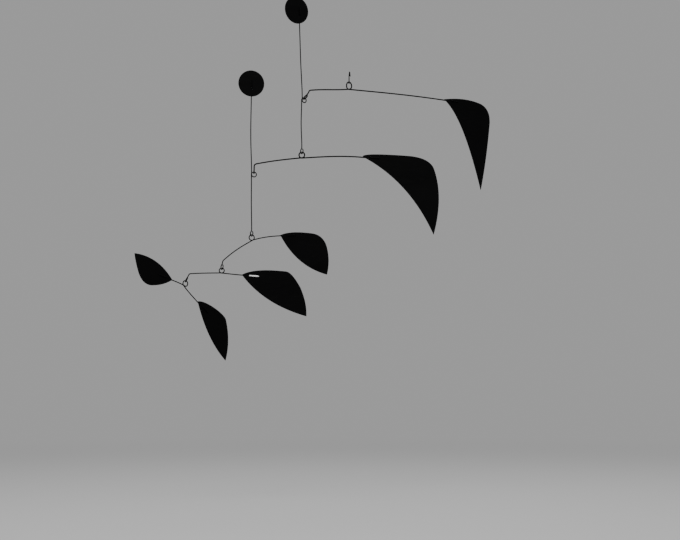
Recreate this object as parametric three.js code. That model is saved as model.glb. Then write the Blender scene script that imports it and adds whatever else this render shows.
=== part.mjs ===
// Hanging mobile: five bent wire arms, two upright wire rods, six sheet blades and two sheet discs,
// linked one under another by round eyes bent into the wire.
// Millimetres, +Z up, +X to the right and +Y away from the viewer. The origin is the underside of the
// top of the hanger's upper eye, where the mobile is held.

import * as THREE from 'three';

// Wire and clearances
const heavyWire = 2.9;
const lightWire = 2.3;
const touchGap = 0.3;
const bearingGap = 0.5;
const holeSlack = 0.12;

// How closely the round stretches are drawn
const wireSides = 8;
const degreesPerStep = 24;
const bendStep = 30;
const runStep = 20;
const cornerSteps = 3;
const shoulderSteps = 8;
const edgeSteps = 12;
const discSteps = 48;
const holeSegments = 6;

// How a wire is bent, in shares of a run's length or in its own widths
const handleShare = 0.36;
const cornerWidths = 0.8;
const openWidths = 1.75;

// Finishes
const wirePaint = { color: 0x0b0b0c, roughness: 0.5, metalness: 0.4 };
const sheetPaint = { color: 0x0a0a0b, roughness: 0.6, metalness: 0.3 };

// A stitch fixes a sheet to its wire: in through one hole, along the face and out through the next.
// A blade's starts so far from the root, a disc's so far below the centre.
const bladeStitch = { start: 16, length: 20.5, tail: 5 };
const discStitch = { below: 10, length: 16, tail: 4 };
const discClearance = 2;

// The hanger, one wire bent into an eye above that laps beside itself and an open eye below. An eye at
// the end of a wire is a drop, longer than it is wide by its taper.
const hanger = {
  wire: lightWire,
  upperRadius: 4.4,
  upperTaper: 0.8,
  upperWrap: 340,
  lowerRadius: 5.4,
  lowerTaper: 1.6,
  between: 3.7,
};

// Arms, top to bottom. Each is described in its own upright plane, with x along the arm, z up and the
// place where its eye bears on the wire above at x = 0, z = 0. yaw turns that plane about the upright.
const arms = [
  {
    name: 'arm_1',
    wire: heavyWire,
    yaw: 35,
    eye: { halfWidth: 6.4, halfHeight: 8, arriving: 9, leaving: 2 },
    hook: { link: [-122.5, -49.6], heading: 53, radius: 5.6, taper: 2.8 },
    bend: { at: [-105.4, -29.6], heading: 11 },
    right: { at: [275.5, -6.2], heading: 0 },
  },
  {
    name: 'arm_2',
    wire: heavyWire,
    yaw: 4,
    eye: { halfWidth: 6.1, halfHeight: 6.2, arriving: 6, leaving: 4 },
    hook: { link: [-105, -44.5], heading: 88, radius: 5.6, taper: 2.8 },
    bend: { at: [-92, -23.6], heading: 11 },
    right: { at: [134.5, -7.6], heading: -4 },
  },
  {
    name: 'arm_3',
    wire: lightWire,
    yaw: 30,
    eye: { halfWidth: 5.9, halfHeight: 5.9, arriving: 29, leaving: 17 },
    hook: { link: [-72.6, -76], heading: 84, radius: 5.4, taper: 1.8 },
    bend: { at: [-60.9, -51], heading: 40 },
    right: { at: [70.5, 3], heading: 5 },
  },
  {
    name: 'arm_4',
    wire: lightWire,
    yaw: 8,
    eye: { halfWidth: 5.4, halfHeight: 5.2, arriving: 1, leaving: -6 },
    hook: { link: [-78.2, -27.8], heading: 65, radius: 5.4, taper: 1.8, twist: 9 },
    bend: { at: [-67.2, -11.3], heading: 4 },
    right: { at: [43.5, -13], heading: -4 },
  },
  {
    name: 'arm_5',
    wire: lightWire,
    yaw: 45,
    eye: { halfWidth: 5.8, halfHeight: 6.1, arriving: -22, leaving: -45 },
    left: { at: [-38.5, 1], heading: -15 },
    right: { at: [33.5, -42.5], heading: -40 },
  },
];

// Rods hang by a side eye, stand up to a disc and end below in an eye for the next arm. Their planes
// are set out as the arms' are, with x = 0, z = 0 where the side eye bears on the arm's end.
const rods = [
  {
    name: 'rod_1',
    wire: lightWire,
    yaw: 32,
    sideRadius: 5.4,
    top: { at: [-12.2, 159], heading: 92, bow: -0.4 },
    foot: { at: [-4.9, -120.4], bow: -1.5, radius: 5.4, taper: 1.8 },
    disc: { name: 'disc_1', radius: 29.3, thickness: 1, aside: -7.6 },
  },
  {
    name: 'rod_2',
    wire: lightWire,
    yaw: 12,
    sideRadius: 5.4,
    top: { at: [-6, 164], heading: 89, bow: -1.5 },
    foot: { at: [-4.9, -137.6], bow: -0.5, radius: 5.4, taper: 1.8, twist: 22 },
    disc: { name: 'disc_2', radius: 28.5, thickness: 1, aside: -0.8 },
  },
];

// Blades, each drawn from its root at the wire. shoulder is the corner before it is rounded off and
// tip the point; top, outer and inner pull the three edges into curves.
const blades = {
  blade_1: {
    thickness: 1.3,
    shoulder: [145.8, -8.8],
    tip: [114.1, -205.7],
    top: [87.5, 17.4],
    outer: [136.5, -115.5],
    inner: [58.6, -32.9],
    rounding: [32, 26],
    rootRise: 1.4,
    stitchShift: 5,
  },
  blade_2: {
    thickness: 1.2,
    shoulder: [146.5, -0.2],
    tip: [157.2, -171],
    top: [-4.8, 11.3],
    outer: [184.9, -68],
    inner: [103, -52.7],
    rounding: [26, 20],
    rootRise: 0.8,
  },
  blade_3: {
    thickness: 1.32,
    shoulder: [105.4, 6],
    tip: [118.4, -83.1],
    top: [28.1, 13.8],
    outer: [131.3, -35.3],
    inner: [40.5, -67.6],
    rounding: [20, 16],
    rootRise: 1.4,
  },
  blade_4: {
    thickness: 0.87,
    shoulder: [109.2, 6.7],
    tip: [140.7, -89.4],
    top: [28, 16.5],
    outer: [142.7, -44.8],
    inner: [48, -64.1],
    rounding: [12, 32],
    rootRise: 0.6,
  },
  blade_5_left: {
    thickness: 1.2,
    shoulder: [77.1, -13.7],
    tip: [98.4, 50.7],
    top: [30.3, -17.6],
    outer: [94.7, 21.9],
    inner: [37.6, 48.1],
    rounding: [20, 20],
    rootRise: 0,
  },
  blade_5_right: {
    thickness: 0.92,
    shoulder: [76.8, -29.1],
    tip: [78.4, -127.8],
    top: [21.4, 4.2],
    outer: [94.6, -79.8],
    inner: [25.6, -82],
    rounding: [26, 8],
    rootRise: 0.4,
  },
};

const radians = THREE.MathUtils.degToRad;
const vector = (x, y, z) => new THREE.Vector3(x, y, z);
const upAxis = vector(0, 0, 1);

const paintedWire = () => new THREE.MeshStandardMaterial(wirePaint);
const paintedSheet = () => new THREE.MeshStandardMaterial(sheetPaint);

// A curve that passes through the given points exactly, so that tight loops get close points and
// long runs get few.
class WireCurve extends THREE.Curve {
  constructor(points) {
    super();
    this.points = points;
  }

  getUtoTmapping(u) {
    return u;
  }

  getPoint(t, target = new THREE.Vector3()) {
    const last = this.points.length - 1;
    const place = t * last;
    const index = Math.min(Math.floor(place), last - 1);
    return target.lerpVectors(this.points[index], this.points[index + 1], place - index);
  }

  getTangent(t, target = new THREE.Vector3()) {
    const last = this.points.length - 1;
    const index = Math.round(t * last);
    const here = this.points[index];
    const arriving = here.clone().sub(this.points[Math.max(index - 1, 0)]).normalize();
    const leaving = this.points[Math.min(index + 1, last)].clone().sub(here).normalize();
    return target.copy(arriving).add(leaving).normalize();
  }
}

// Joins stretches of wire end to end, leaving out the points that two of them share.
function joined(...stretches) {
  const sharedWithin = 0.05;
  const points = [];
  for (const point of stretches.flat()) {
    if (points.length === 0 || points.at(-1).distanceTo(point) > sharedWithin) {
      points.push(point);
    }
  }
  return points;
}

function wireMesh(name, diameter, points) {
  const corners = [];
  for (let side = 0; side < wireSides; side += 1) {
    const angle = (2 * Math.PI * side) / wireSides;
    corners.push(new THREE.Vector2(Math.cos(angle), Math.sin(angle)).multiplyScalar(diameter / 2));
  }
  const geometry = new THREE.ExtrudeGeometry(new THREE.Shape(corners), {
    steps: points.length - 1,
    extrudePath: new WireCurve(points),
  });
  const mesh = new THREE.Mesh(geometry, paintedWire());
  mesh.name = name;
  return mesh;
}

// The direction of a heading in a body's upright plane: 0 points along +X and 90 up.
function along(heading) {
  return vector(Math.cos(radians(heading)), 0, Math.sin(radians(heading)));
}

// A smooth run of wire between two points, leaving and arriving on the given directions.
function run(start, startDirection, end, endDirection) {
  const reach = start.distanceTo(end);
  const handle = handleShare * reach;
  const curve = new THREE.CubicBezierCurve3(
    start,
    start.clone().addScaledVector(startDirection, handle),
    end.clone().addScaledVector(endDirection, -handle),
    end,
  );
  const turned = THREE.MathUtils.radToDeg(startDirection.angleTo(endDirection));
  const steps = Math.max(Math.ceil(reach / runStep), Math.ceil(turned / (degreesPerStep / 2)), 2);
  return curve.getSpacedPoints(steps);
}

// Points on an oval turn of wire, starting at an angle, going round by turn degrees and moving
// sideways by drift on the way.
function oval({ centre, across, up, sideways, halfWidth, halfHeight, start, turn, drift }) {
  const steps = Math.ceil(Math.abs(turn) / degreesPerStep);
  const points = [];
  for (let step = 0; step <= steps; step += 1) {
    const share = step / steps;
    const angle = radians(start + turn * share);
    points.push(
      centre
        .clone()
        .addScaledVector(across, halfWidth * Math.cos(angle))
        .addScaledVector(up, halfHeight * Math.sin(angle))
        .addScaledVector(sideways, drift * share),
    );
  }
  return points;
}

// How far a wire moves sideways while it goes round beside itself.
const wrapDrift = (wire, wrap) => ((wire + touchGap) * wrap) / 360;

// How far an end eye reaches, from where its wire bends to its far side.
const eyeLength = (radius, taper) => 2 * radius + taper;

// An eye at the end of a wire, shaped as a drop. The wire comes in at tip along the direction into,
// bends to one side and goes round. It then comes back to just short of where it bent, or with wrap
// it goes on round beside itself for that many degrees in all.
function endEye({ tip, into, across, radius, taper, wire, wrap }) {
  const centreDepth = radius + taper;
  const spread = Math.asin(radius / centreDepth);
  const centre = tip.clone().addScaledVector(into, centreDepth);
  const cornerCut = cornerWidths * wire;
  const sideways = new THREE.Vector3().crossVectors(into, across);
  const lineOut = into.clone().multiplyScalar(Math.cos(spread)).addScaledVector(across, Math.sin(spread));
  const lineBack = into.clone().multiplyScalar(Math.cos(spread)).addScaledVector(across, -Math.sin(spread));
  const entry = new THREE.QuadraticBezierCurve3(
    tip.clone().addScaledVector(into, -cornerCut),
    tip.clone(),
    tip.clone().addScaledVector(lineOut, cornerCut),
  ).getPoints(cornerSteps);
  const openAngle = THREE.MathUtils.radToDeg(spread);
  const round = oval({
    centre,
    across,
    up: into.clone().negate(),
    sideways,
    halfWidth: radius,
    halfHeight: radius,
    start: openAngle,
    turn: -(wrap ?? 180 + 2 * openAngle),
    drift: wrap ? -wrapDrift(wire, wrap) : 0,
  });
  if (wrap) {
    return joined(entry, round);
  }
  const endShort = tip.clone().addScaledVector(lineBack, openWidths * wire);
  return joined(entry, round, [endShort]);
}

// The direction of the wire where it is at an angle of an oval.
function ovalDirection(halfWidth, halfHeight, angle) {
  const place = radians(angle);
  return vector(-halfWidth * Math.sin(place), 0, halfHeight * Math.cos(place)).normalize();
}

// A turn in the middle of a wire. The wire meets the oval at startAngle, goes once round to endAngle
// and leaves there, moved sideways by its own width and a gap.
function coil({ centre, halfWidth, halfHeight, startAngle, endAngle = startAngle, wire }) {
  const shift = wire + touchGap;
  const sideStart = centre.clone().add(vector(0, -shift / 2, 0));
  const points = oval({
    centre: sideStart,
    across: vector(1, 0, 0),
    up: upAxis,
    sideways: vector(0, 1, 0),
    halfWidth,
    halfHeight,
    start: startAngle,
    turn: 360 + endAngle - startAngle,
    drift: shift,
  });
  return {
    points,
    arriving: ovalDirection(halfWidth, halfHeight, startAngle),
    leaving: ovalDirection(halfWidth, halfHeight, endAngle),
  };
}

// The wire's way through a sheet and back. It runs behind the sheet from start, goes through the
// first hole to the front, along it, and back through the second hole to a short tail.
function stitch({ start, direction, lead, length, tail, wire, thickness }) {
  const across = 2 * (wire / 2 + touchGap) + thickness;
  const bendRadius = across / 2;
  const places = [start];
  const bendThrough = (centreAlong, fromBack) => {
    for (let angle = -90; angle <= 90; angle += bendStep) {
      const side = Math.sign(angle) || 1;
      const swing = radians(Math.abs(angle));
      const alongOffset = side * (bendRadius - bendRadius * Math.cos(swing));
      const crossed = angle === 0 ? 0 : side * bendRadius * Math.sin(swing);
      const depth = fromBack ? bendRadius + crossed : bendRadius - crossed;
      places.push(
        start
          .clone()
          .addScaledVector(direction, centreAlong + alongOffset)
          .add(vector(0, -depth, 0)),
      );
    }
  };
  bendThrough(lead, true);
  bendThrough(lead + length, false);
  places.push(start.clone().addScaledVector(direction, lead + length + bendRadius + tail));
  const holeRadius = wire / 2 + touchGap + holeSlack;
  const holes = [lead, lead + length].map((distance) => ({
    at: start.clone().addScaledVector(direction, distance),
    radius: holeRadius,
  }));
  return { points: places, holes, sheetMiddle: start.y - bendRadius };
}

// A flat sheet standing in the body's upright plane, with round holes, centred on y = middle.
function sheetMesh(name, outline, holes, thickness, middle) {
  const shape = new THREE.Shape(THREE.ShapeUtils.isClockWise(outline) ? [...outline].reverse() : outline);
  for (const hole of holes) {
    const path = new THREE.Path();
    path.absarc(hole.x, hole.y, hole.radius, 0, 2 * Math.PI, true);
    shape.holes.push(path);
  }
  const geometry = new THREE.ExtrudeGeometry(shape, {
    depth: thickness,
    bevelEnabled: false,
    curveSegments: holeSegments,
  });
  const mesh = new THREE.Mesh(geometry, paintedSheet());
  mesh.name = name;
  mesh.rotation.x = Math.PI / 2;
  mesh.position.y = middle + thickness / 2;
  return mesh;
}

// Points along a curved edge, from its start up to a distance before its end.
function edge(start, pull, end, skipStart, skipEnd) {
  const curve = new THREE.QuadraticBezierCurve(start, pull, end);
  return curve
    .getPoints(edgeSteps)
    .filter((point) => point.distanceTo(start) >= skipStart && point.distanceTo(end) >= skipEnd);
}

// The blade's outline from its root; side is 1 for a blade on the right and -1 on the left.
function bladeOutline(blade, side) {
  const flat = ([x, z]) => new THREE.Vector2(side * x, z);
  const root = new THREE.Vector2(0, 0);
  const shoulder = flat(blade.shoulder);
  const tip = flat(blade.tip);
  const [before, after] = blade.rounding;
  const top = edge(root, flat(blade.top), shoulder, 0, before);
  const outer = edge(shoulder, flat(blade.outer), tip, after, 0);
  const inner = edge(tip, flat(blade.inner), root, 0, 0);
  const corner = new THREE.QuadraticBezierCurve(top.at(-1), shoulder, outer[0]).getPoints(shoulderSteps);
  return [...top, ...corner.slice(1, -1), ...outer, ...inner.slice(1, -1)];
}

// Carries an arm's wire on through its blade and makes the blade to suit.
function bladeOnWire(name, start, outward, wire, side) {
  const blade = blades[name];
  const fixing = stitch({
    start,
    direction: outward,
    lead: bladeStitch.start + (blade.stitchShift ?? 0),
    length: bladeStitch.length,
    tail: bladeStitch.tail,
    wire,
    thickness: blade.thickness,
  });
  const root = new THREE.Vector2(start.x, start.z + blade.rootRise);
  const outline = bladeOutline(blade, side);
  const holes = fixing.holes.map(({ at, radius }) => ({ x: at.x - root.x, y: at.z - root.y, radius }));
  const mesh = sheetMesh(name, outline, holes, blade.thickness, fixing.sheetMiddle);
  mesh.position.x = root.x;
  mesh.position.z = root.y;
  return { points: fixing.points, mesh };
}

// Where a wire's centre lies below and above the place where two eyes bear on each other.
const bearingOffset = (wire) => wire / 2 + bearingGap / 2;

// The end eye of an arm or a rod, placed so that its lowest point bears at link.
function linkEye({ link, heading, radius, taper, twist = 0, wire }) {
  const into = along(heading).negate();
  const lowest = vector(link[0], 0, link[1] - bearingOffset(wire));
  const tip = lowest.clone().addScaledVector(into, -eyeLength(radius, taper));
  const across = vector(0, 1, 0).applyAxisAngle(into, radians(-twist));
  return { tip, into, across, radius, taper, wire };
}

function buildArm(arm, bladeNames) {
  const group = new THREE.Group();
  const { wire, eye } = arm;
  const centre = vector(0, 0, bearingOffset(wire) - eye.halfHeight);
  const turn = coil({
    centre,
    halfWidth: eye.halfWidth,
    halfHeight: eye.halfHeight,
    startAngle: eye.arriving - 90,
    endAngle: eye.leaving - 90,
    wire,
  });
  const frontSide = turn.points[0].y;
  const backSide = turn.points.at(-1).y;
  const rightEnd = vector(arm.right.at[0], backSide, arm.right.at[1]);
  const rightOut = along(arm.right.heading);
  const rightRun = run(turn.points.at(-1), turn.leaving, rightEnd, rightOut);
  const rightBlade = bladeOnWire(bladeNames.right, rightEnd, rightOut, wire, 1);
  let leftStretch;
  if (arm.hook) {
    const loop = linkEye({ ...arm.hook, wire });
    loop.tip.y = frontSide;
    const end = endEye(loop).reverse();
    const bendPoint = vector(arm.bend.at[0], frontSide, arm.bend.at[1]);
    const bendDirection = along(arm.bend.heading);
    leftStretch = joined(
      end,
      run(end.at(-1), loop.into.clone().negate(), bendPoint, bendDirection),
      run(bendPoint, bendDirection, turn.points[0], turn.arriving),
    );
  } else {
    const leftEnd = vector(arm.left.at[0], frontSide, arm.left.at[1]);
    const leftIn = along(arm.left.heading);
    const leftBlade = bladeOnWire(bladeNames.left, leftEnd, leftIn.clone().negate(), wire, -1);
    leftStretch = joined(
      leftBlade.points.reverse(),
      run(leftEnd, leftIn, turn.points[0], turn.arriving),
    );
    group.add(leftBlade.mesh);
  }
  const points = joined(leftStretch, turn.points, rightRun, rightBlade.points);
  group.add(wireMesh(`${arm.name}_wire`, wire, points));
  group.add(rightBlade.mesh);
  return group;
}

// The middle of a stretch of rod, moved aside by its bow.
function bowed(start, end, bow) {
  const middle = start.clone().lerp(end, 0.5);
  middle.x += bow;
  return middle;
}

function buildRod(rod) {
  const group = new THREE.Group();
  const { wire, sideRadius, disc } = rod;
  const centre = vector(0, 0, bearingOffset(wire) - sideRadius);
  const turn = coil({ centre, halfWidth: sideRadius, halfHeight: sideRadius, startAngle: 180, wire });
  const eyeStart = turn.points[0];
  const eyeEnd = turn.points.at(-1);
  const frontSide = eyeStart.y;
  const backSide = eyeEnd.y;
  const down = vector(0, 0, -1);
  const rodTop = vector(rod.top.at[0], frontSide, rod.top.at[1]);
  const upward = along(rod.top.heading);
  const discCentreAlong = disc.radius + discClearance;
  const fixing = stitch({
    start: rodTop,
    direction: upward,
    lead: discCentreAlong - discStitch.below,
    length: discStitch.length,
    tail: discStitch.tail,
    wire,
    thickness: disc.thickness,
  });
  const discCentre = rodTop.clone().addScaledVector(upward, discCentreAlong);
  discCentre.x += disc.aside;
  const outline = new THREE.EllipseCurve(0, 0, disc.radius, disc.radius).getPoints(discSteps).slice(1);
  const holes = fixing.holes.map(({ at, radius }) => ({
    x: at.x - discCentre.x,
    y: at.z - discCentre.z,
    radius,
  }));
  const discMesh = sheetMesh(disc.name, outline, holes, disc.thickness, fixing.sheetMiddle);
  discMesh.position.x = discCentre.x;
  discMesh.position.z = discCentre.z;
  const loop = linkEye({ ...rod.foot, link: rod.foot.at, heading: 90, wire });
  loop.tip.y = backSide;
  const foot = endEye(loop);
  const upperMiddle = bowed(rodTop, eyeStart, rod.top.bow);
  const upperDown = eyeStart.clone().sub(rodTop).normalize();
  const lowerMiddle = bowed(eyeEnd, foot[0], rod.foot.bow);
  const points = joined(
    fixing.points.reverse(),
    run(rodTop, upward.clone().negate(), upperMiddle, upperDown),
    run(upperMiddle, upperDown, eyeStart, down),
    turn.points,
    run(eyeEnd, down, lowerMiddle, down),
    run(lowerMiddle, down, foot[0], down),
    foot,
  );
  group.add(wireMesh(`${rod.name}_wire`, wire, points));
  group.add(discMesh);
  return group;
}

function buildHanger() {
  const { wire, upperRadius, upperTaper, upperWrap, lowerRadius, lowerTaper, between } = hanger;
  const upperLength = eyeLength(upperRadius, upperTaper);
  const upperTip = vector(-wrapDrift(wire, upperWrap) / 2, 0, wire / 2 - upperLength);
  const upper = endEye({
    tip: upperTip,
    into: upAxis.clone(),
    across: vector(0, 1, 0),
    radius: upperRadius,
    taper: upperTaper,
    wire,
    wrap: upperWrap,
  });
  const lowerTip = upperTip.clone().add(vector(0, 0, -between));
  const lower = endEye({
    tip: lowerTip,
    into: vector(0, 0, -1),
    across: vector(0, 1, 0),
    radius: lowerRadius,
    taper: lowerTaper,
    wire,
  });
  return wireMesh('hanger_link', wire, joined(upper.reverse(), lower));
}

// Hangs a body below its parent: at a place in the parent's plane, turned to its own yaw.
function hangBelow(parent, parentYaw, place, child, childYaw) {
  child.position.copy(place);
  child.rotation.z = radians(childYaw - parentYaw);
  parent.add(child);
}

function buildMobile() {
  const mobile = new THREE.Group();
  mobile.add(buildHanger());
  const [arm1, arm2, arm3, arm4, arm5] = arms;
  const [rod1, rod2] = rods;
  const upperLength = eyeLength(hanger.upperRadius, hanger.upperTaper);
  const lowerLength = eyeLength(hanger.lowerRadius, hanger.lowerTaper);
  const hangerDrop = upperLength + hanger.between + lowerLength - hanger.wire / 2;
  const tiers = [
    { spec: arm1, body: buildArm(arm1, { right: 'blade_1' }) },
    { spec: rod1, body: buildRod(rod1) },
    { spec: arm2, body: buildArm(arm2, { right: 'blade_2' }) },
    { spec: rod2, body: buildRod(rod2) },
    { spec: arm3, body: buildArm(arm3, { right: 'blade_3' }) },
    { spec: arm4, body: buildArm(arm4, { right: 'blade_4' }) },
    { spec: arm5, body: buildArm(arm5, { left: 'blade_5_left', right: 'blade_5_right' }) },
  ];
  let parent = mobile;
  let parentYaw = 0;
  const hangerAside = -wrapDrift(hanger.wire, hanger.upperWrap) / 2;
  let place = vector(hangerAside, 0, bearingOffset(hanger.wire) - hangerDrop);
  for (const { spec, body } of tiers) {
    hangBelow(parent, parentYaw, place, body, spec.yaw);
    parent = body;
    parentYaw = spec.yaw;
    const link = spec.hook ? spec.hook.link : spec.foot?.at;
    if (link) {
      const side = spec.hook ? -1 : 1;
      const offset = (side * (spec.wire + touchGap)) / 2;
      place = vector(link[0], offset, link[1]);
    }
  }
  return mobile;
}

export default buildMobile();
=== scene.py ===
"""Hanging mobile: bent wire arms and upright rods that carry sheet blades and discs.

Sizes are in millimetres and become metres as each piece is made. Every arm and rod is set out in an
upright plane of its own, with x along it, z up and y away from the viewer, and its yaw turns that
plane about the upright. The place where its eye bears on the wire above is x = 0, z = 0.
"""

from __future__ import annotations

import logging
import math
from dataclasses import dataclass, field
from enum import Enum

import bpy
from mathutils import Matrix, Vector
from mathutils.geometry import interpolate_bezier


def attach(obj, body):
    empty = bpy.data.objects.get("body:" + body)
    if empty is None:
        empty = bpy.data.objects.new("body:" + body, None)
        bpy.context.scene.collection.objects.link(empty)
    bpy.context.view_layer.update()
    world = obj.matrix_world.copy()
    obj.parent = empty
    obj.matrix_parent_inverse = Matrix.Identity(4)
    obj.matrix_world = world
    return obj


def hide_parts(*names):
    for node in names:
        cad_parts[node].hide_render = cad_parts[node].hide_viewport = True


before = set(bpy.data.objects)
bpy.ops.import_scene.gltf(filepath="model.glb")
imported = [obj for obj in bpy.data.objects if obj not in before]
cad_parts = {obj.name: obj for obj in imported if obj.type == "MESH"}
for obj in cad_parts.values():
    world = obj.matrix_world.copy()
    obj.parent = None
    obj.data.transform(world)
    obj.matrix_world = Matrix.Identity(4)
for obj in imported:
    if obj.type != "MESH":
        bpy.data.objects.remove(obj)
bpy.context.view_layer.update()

LOG = logging.getLogger("mobile")

Pair = tuple[float, float]
Triple = tuple[float, float, float]
Tree = bpy.types.NodeTree
Socket = bpy.types.NodeSocket
Labels = tuple[str, ...]
Values = dict[str | int, object]

MM = 0.001
UP = Vector((0, 0, 1))
DOWN = Vector((0, 0, -1))

HEAVY_WIRE = 2.9
LIGHT_WIRE = 2.3
TOUCH_GAP = 0.3
BEARING_GAP = 0.5
HOLE_SLACK = 0.1

HANDLE_SHARE = 0.36
CORNER_WIDTHS = 0.8
OPEN_WIDTHS = 1.75

BLADE_LEAD = 16.0
BLADE_STITCH = 20.5
BLADE_TAIL = 5.0
DISC_BELOW = 10.0
DISC_STITCH = 16.0
DISC_TAIL = 4.0
DISC_CLEARANCE = 2.0
DRILL_LENGTHS = 4

TURN_STEP = 8.0
BEND_STEP = 15.0
RUN_STEP = 6.0
CORNER_STEPS = 6
EDGE_STEPS = 12
EDGE_FINER = 4
SHOULDER_STEPS = 24
DISC_STEPS = 128
FEWEST_STEPS = 4
WIRE_RESOLUTION = 6
HOLE_SIDES = 32
SHARED_WITHIN = 0.02
WELDED_WITHIN = 0.01

SIDE_CORNERS = 4
END_ROUNDING = 0.22
ROUNDING_SEGMENTS = 3
SMOOTH_BELOW = 50
FILED_ABOVE = 40
FRONT_WIDENING = 0.35
FRONT_OVERLAP = 0.12


class Slot(Enum):
    """The names of the wire's and the sheet's material slots."""

    WIRE = "black_wire"
    SHEET = "black_sheet"


class Side(Enum):
    """Which end of an arm a blade is on, as the sign of its direction."""

    LEFT = -1
    RIGHT = 1


def heading_direction(heading: float) -> Vector:
    """Gives the direction of a heading in a body's plane.

    Args:
        heading: Degrees, 0 along the arm and 90 up.

    Returns:
        The unit direction.
    """
    turned = math.radians(heading)
    return Vector((math.cos(turned), 0, math.sin(turned)))


def bearing_offset(wire: float) -> float:
    """Gives how far a wire's centre lies from the place where two eyes bear."""
    return wire / 2 + BEARING_GAP / 2


def wrap_drift(wire: float, wrap: float) -> float:
    """Gives how far a wire moves sideways while it goes round beside itself by wrap degrees."""
    return (wire + TOUCH_GAP) * wrap / 360


def joined(*stretches: list[Vector]) -> list[Vector]:
    """Joins stretches of wire end to end.

    Args:
        stretches: Lists of points, each starting where the last one ends.

    Returns:
        One list without the points that two stretches share.
    """
    points: list[Vector] = []
    for stretch in stretches:
        for point in stretch:
            if not points or (points[-1] - point).length > SHARED_WITHIN:
                points.append(point)
    return points


def smooth_run(start: Vector, leaving: Vector, end: Vector, arriving: Vector) -> list[Vector]:
    """Draws a smooth run of wire between two points.

    Args:
        start: Where the run starts.
        leaving: The direction in which it leaves.
        end: Where the run ends.
        arriving: The direction in which it arrives.

    Returns:
        Points along the run, both ends included.
    """
    reach = (end - start).length
    handle = HANDLE_SHARE * reach
    turned = math.degrees(leaving.angle(arriving))
    steps = max(math.ceil(reach / RUN_STEP), math.ceil(turned / (TURN_STEP / 2)), FEWEST_STEPS)
    first = start + leaving * handle
    second = end - arriving * handle
    return list(interpolate_bezier(start, first, second, end, steps + 1))


def quadratic(start: Vector, pull: Vector, end: Vector, steps: int) -> list[Vector]:
    """Draws a curve that one point pulls out of line.

    Args:
        start: Where the curve starts.
        pull: The point that pulls it.
        end: Where the curve ends.
        steps: The number of steps along it.

    Returns:
        Points along the curve, both ends included.
    """
    first = start.lerp(pull, 2 / 3)
    second = end.lerp(pull, 2 / 3)
    return list(interpolate_bezier(start, first, second, end, steps + 1))


@dataclass(frozen=True)
class OvalTurn:
    """A stretch of wire that goes round an oval and moves sideways on the way."""

    centre: Vector
    across: Vector
    up: Vector
    sideways: Vector
    half_width: float
    half_height: float
    start: float
    turn: float
    drift: float = 0.0

    def points(self) -> list[Vector]:
        """Gives the points along the turn, both ends included."""
        steps = math.ceil(abs(self.turn) / TURN_STEP)
        places = []
        for step in range(steps + 1):
            share = step / steps
            angle = math.radians(self.start + self.turn * share)
            place = self.centre + self.across * self.half_width * math.cos(angle)
            place = place + self.up * self.half_height * math.sin(angle)
            places.append(place + self.sideways * self.drift * share)
        return places


@dataclass(frozen=True)
class EndEye:
    """A drop-shaped eye bent at the end of a wire, or wrapped on beside itself."""

    tip: Vector
    into: Vector
    across: Vector
    radius: float
    neck: float
    wire: float
    wrap: float | None = None

    def points(self) -> list[Vector]:
        """Gives the points of the eye, from the straight wire to its cut end."""
        depth = self.neck - self.radius
        spread = math.asin(self.radius / depth)
        corner = CORNER_WIDTHS * self.wire
        line_out = self.into * math.cos(spread) + self.across * math.sin(spread)
        line_back = self.into * math.cos(spread) - self.across * math.sin(spread)
        before, after = self.tip - self.into * corner, self.tip + line_out * corner
        entry = quadratic(before, self.tip, after, CORNER_STEPS)
        opening = math.degrees(spread)
        turn = OvalTurn(
            centre=self.tip + self.into * depth,
            across=self.across,
            up=-self.into,
            sideways=self.into.cross(self.across),
            half_width=self.radius,
            half_height=self.radius,
            start=opening,
            turn=-(self.wrap or 180 + 2 * opening),
            drift=-wrap_drift(self.wire, self.wrap) if self.wrap else 0.0,
        ).points()
        if self.wrap:
            return joined(entry, turn)
        return joined(entry, turn, [self.tip + line_back * OPEN_WIDTHS * self.wire])


@dataclass(frozen=True)
class Coil:
    """A turn in the middle of a wire, which comes in and leaves at two angles of an oval."""

    wire: float
    half_width: float
    half_height: float
    start: float
    end: float

    def points(self) -> list[Vector]:
        """Gives the points of the turn, from the front side to the back."""
        shift = self.wire + TOUCH_GAP
        return OvalTurn(
            centre=Vector((0, -shift / 2, bearing_offset(self.wire) - self.half_height)),
            across=Vector((1, 0, 0)),
            up=UP,
            sideways=Vector((0, 1, 0)),
            half_width=self.half_width,
            half_height=self.half_height,
            start=self.start,
            turn=360 + self.end - self.start,
            drift=shift,
        ).points()

    def direction(self, angle: float) -> Vector:
        """Gives the wire's direction at an angle of the oval."""
        place = math.radians(angle)
        slope = Vector((-self.half_width * math.sin(place), 0, self.half_height * math.cos(place)))
        return slope.normalized()


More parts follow.
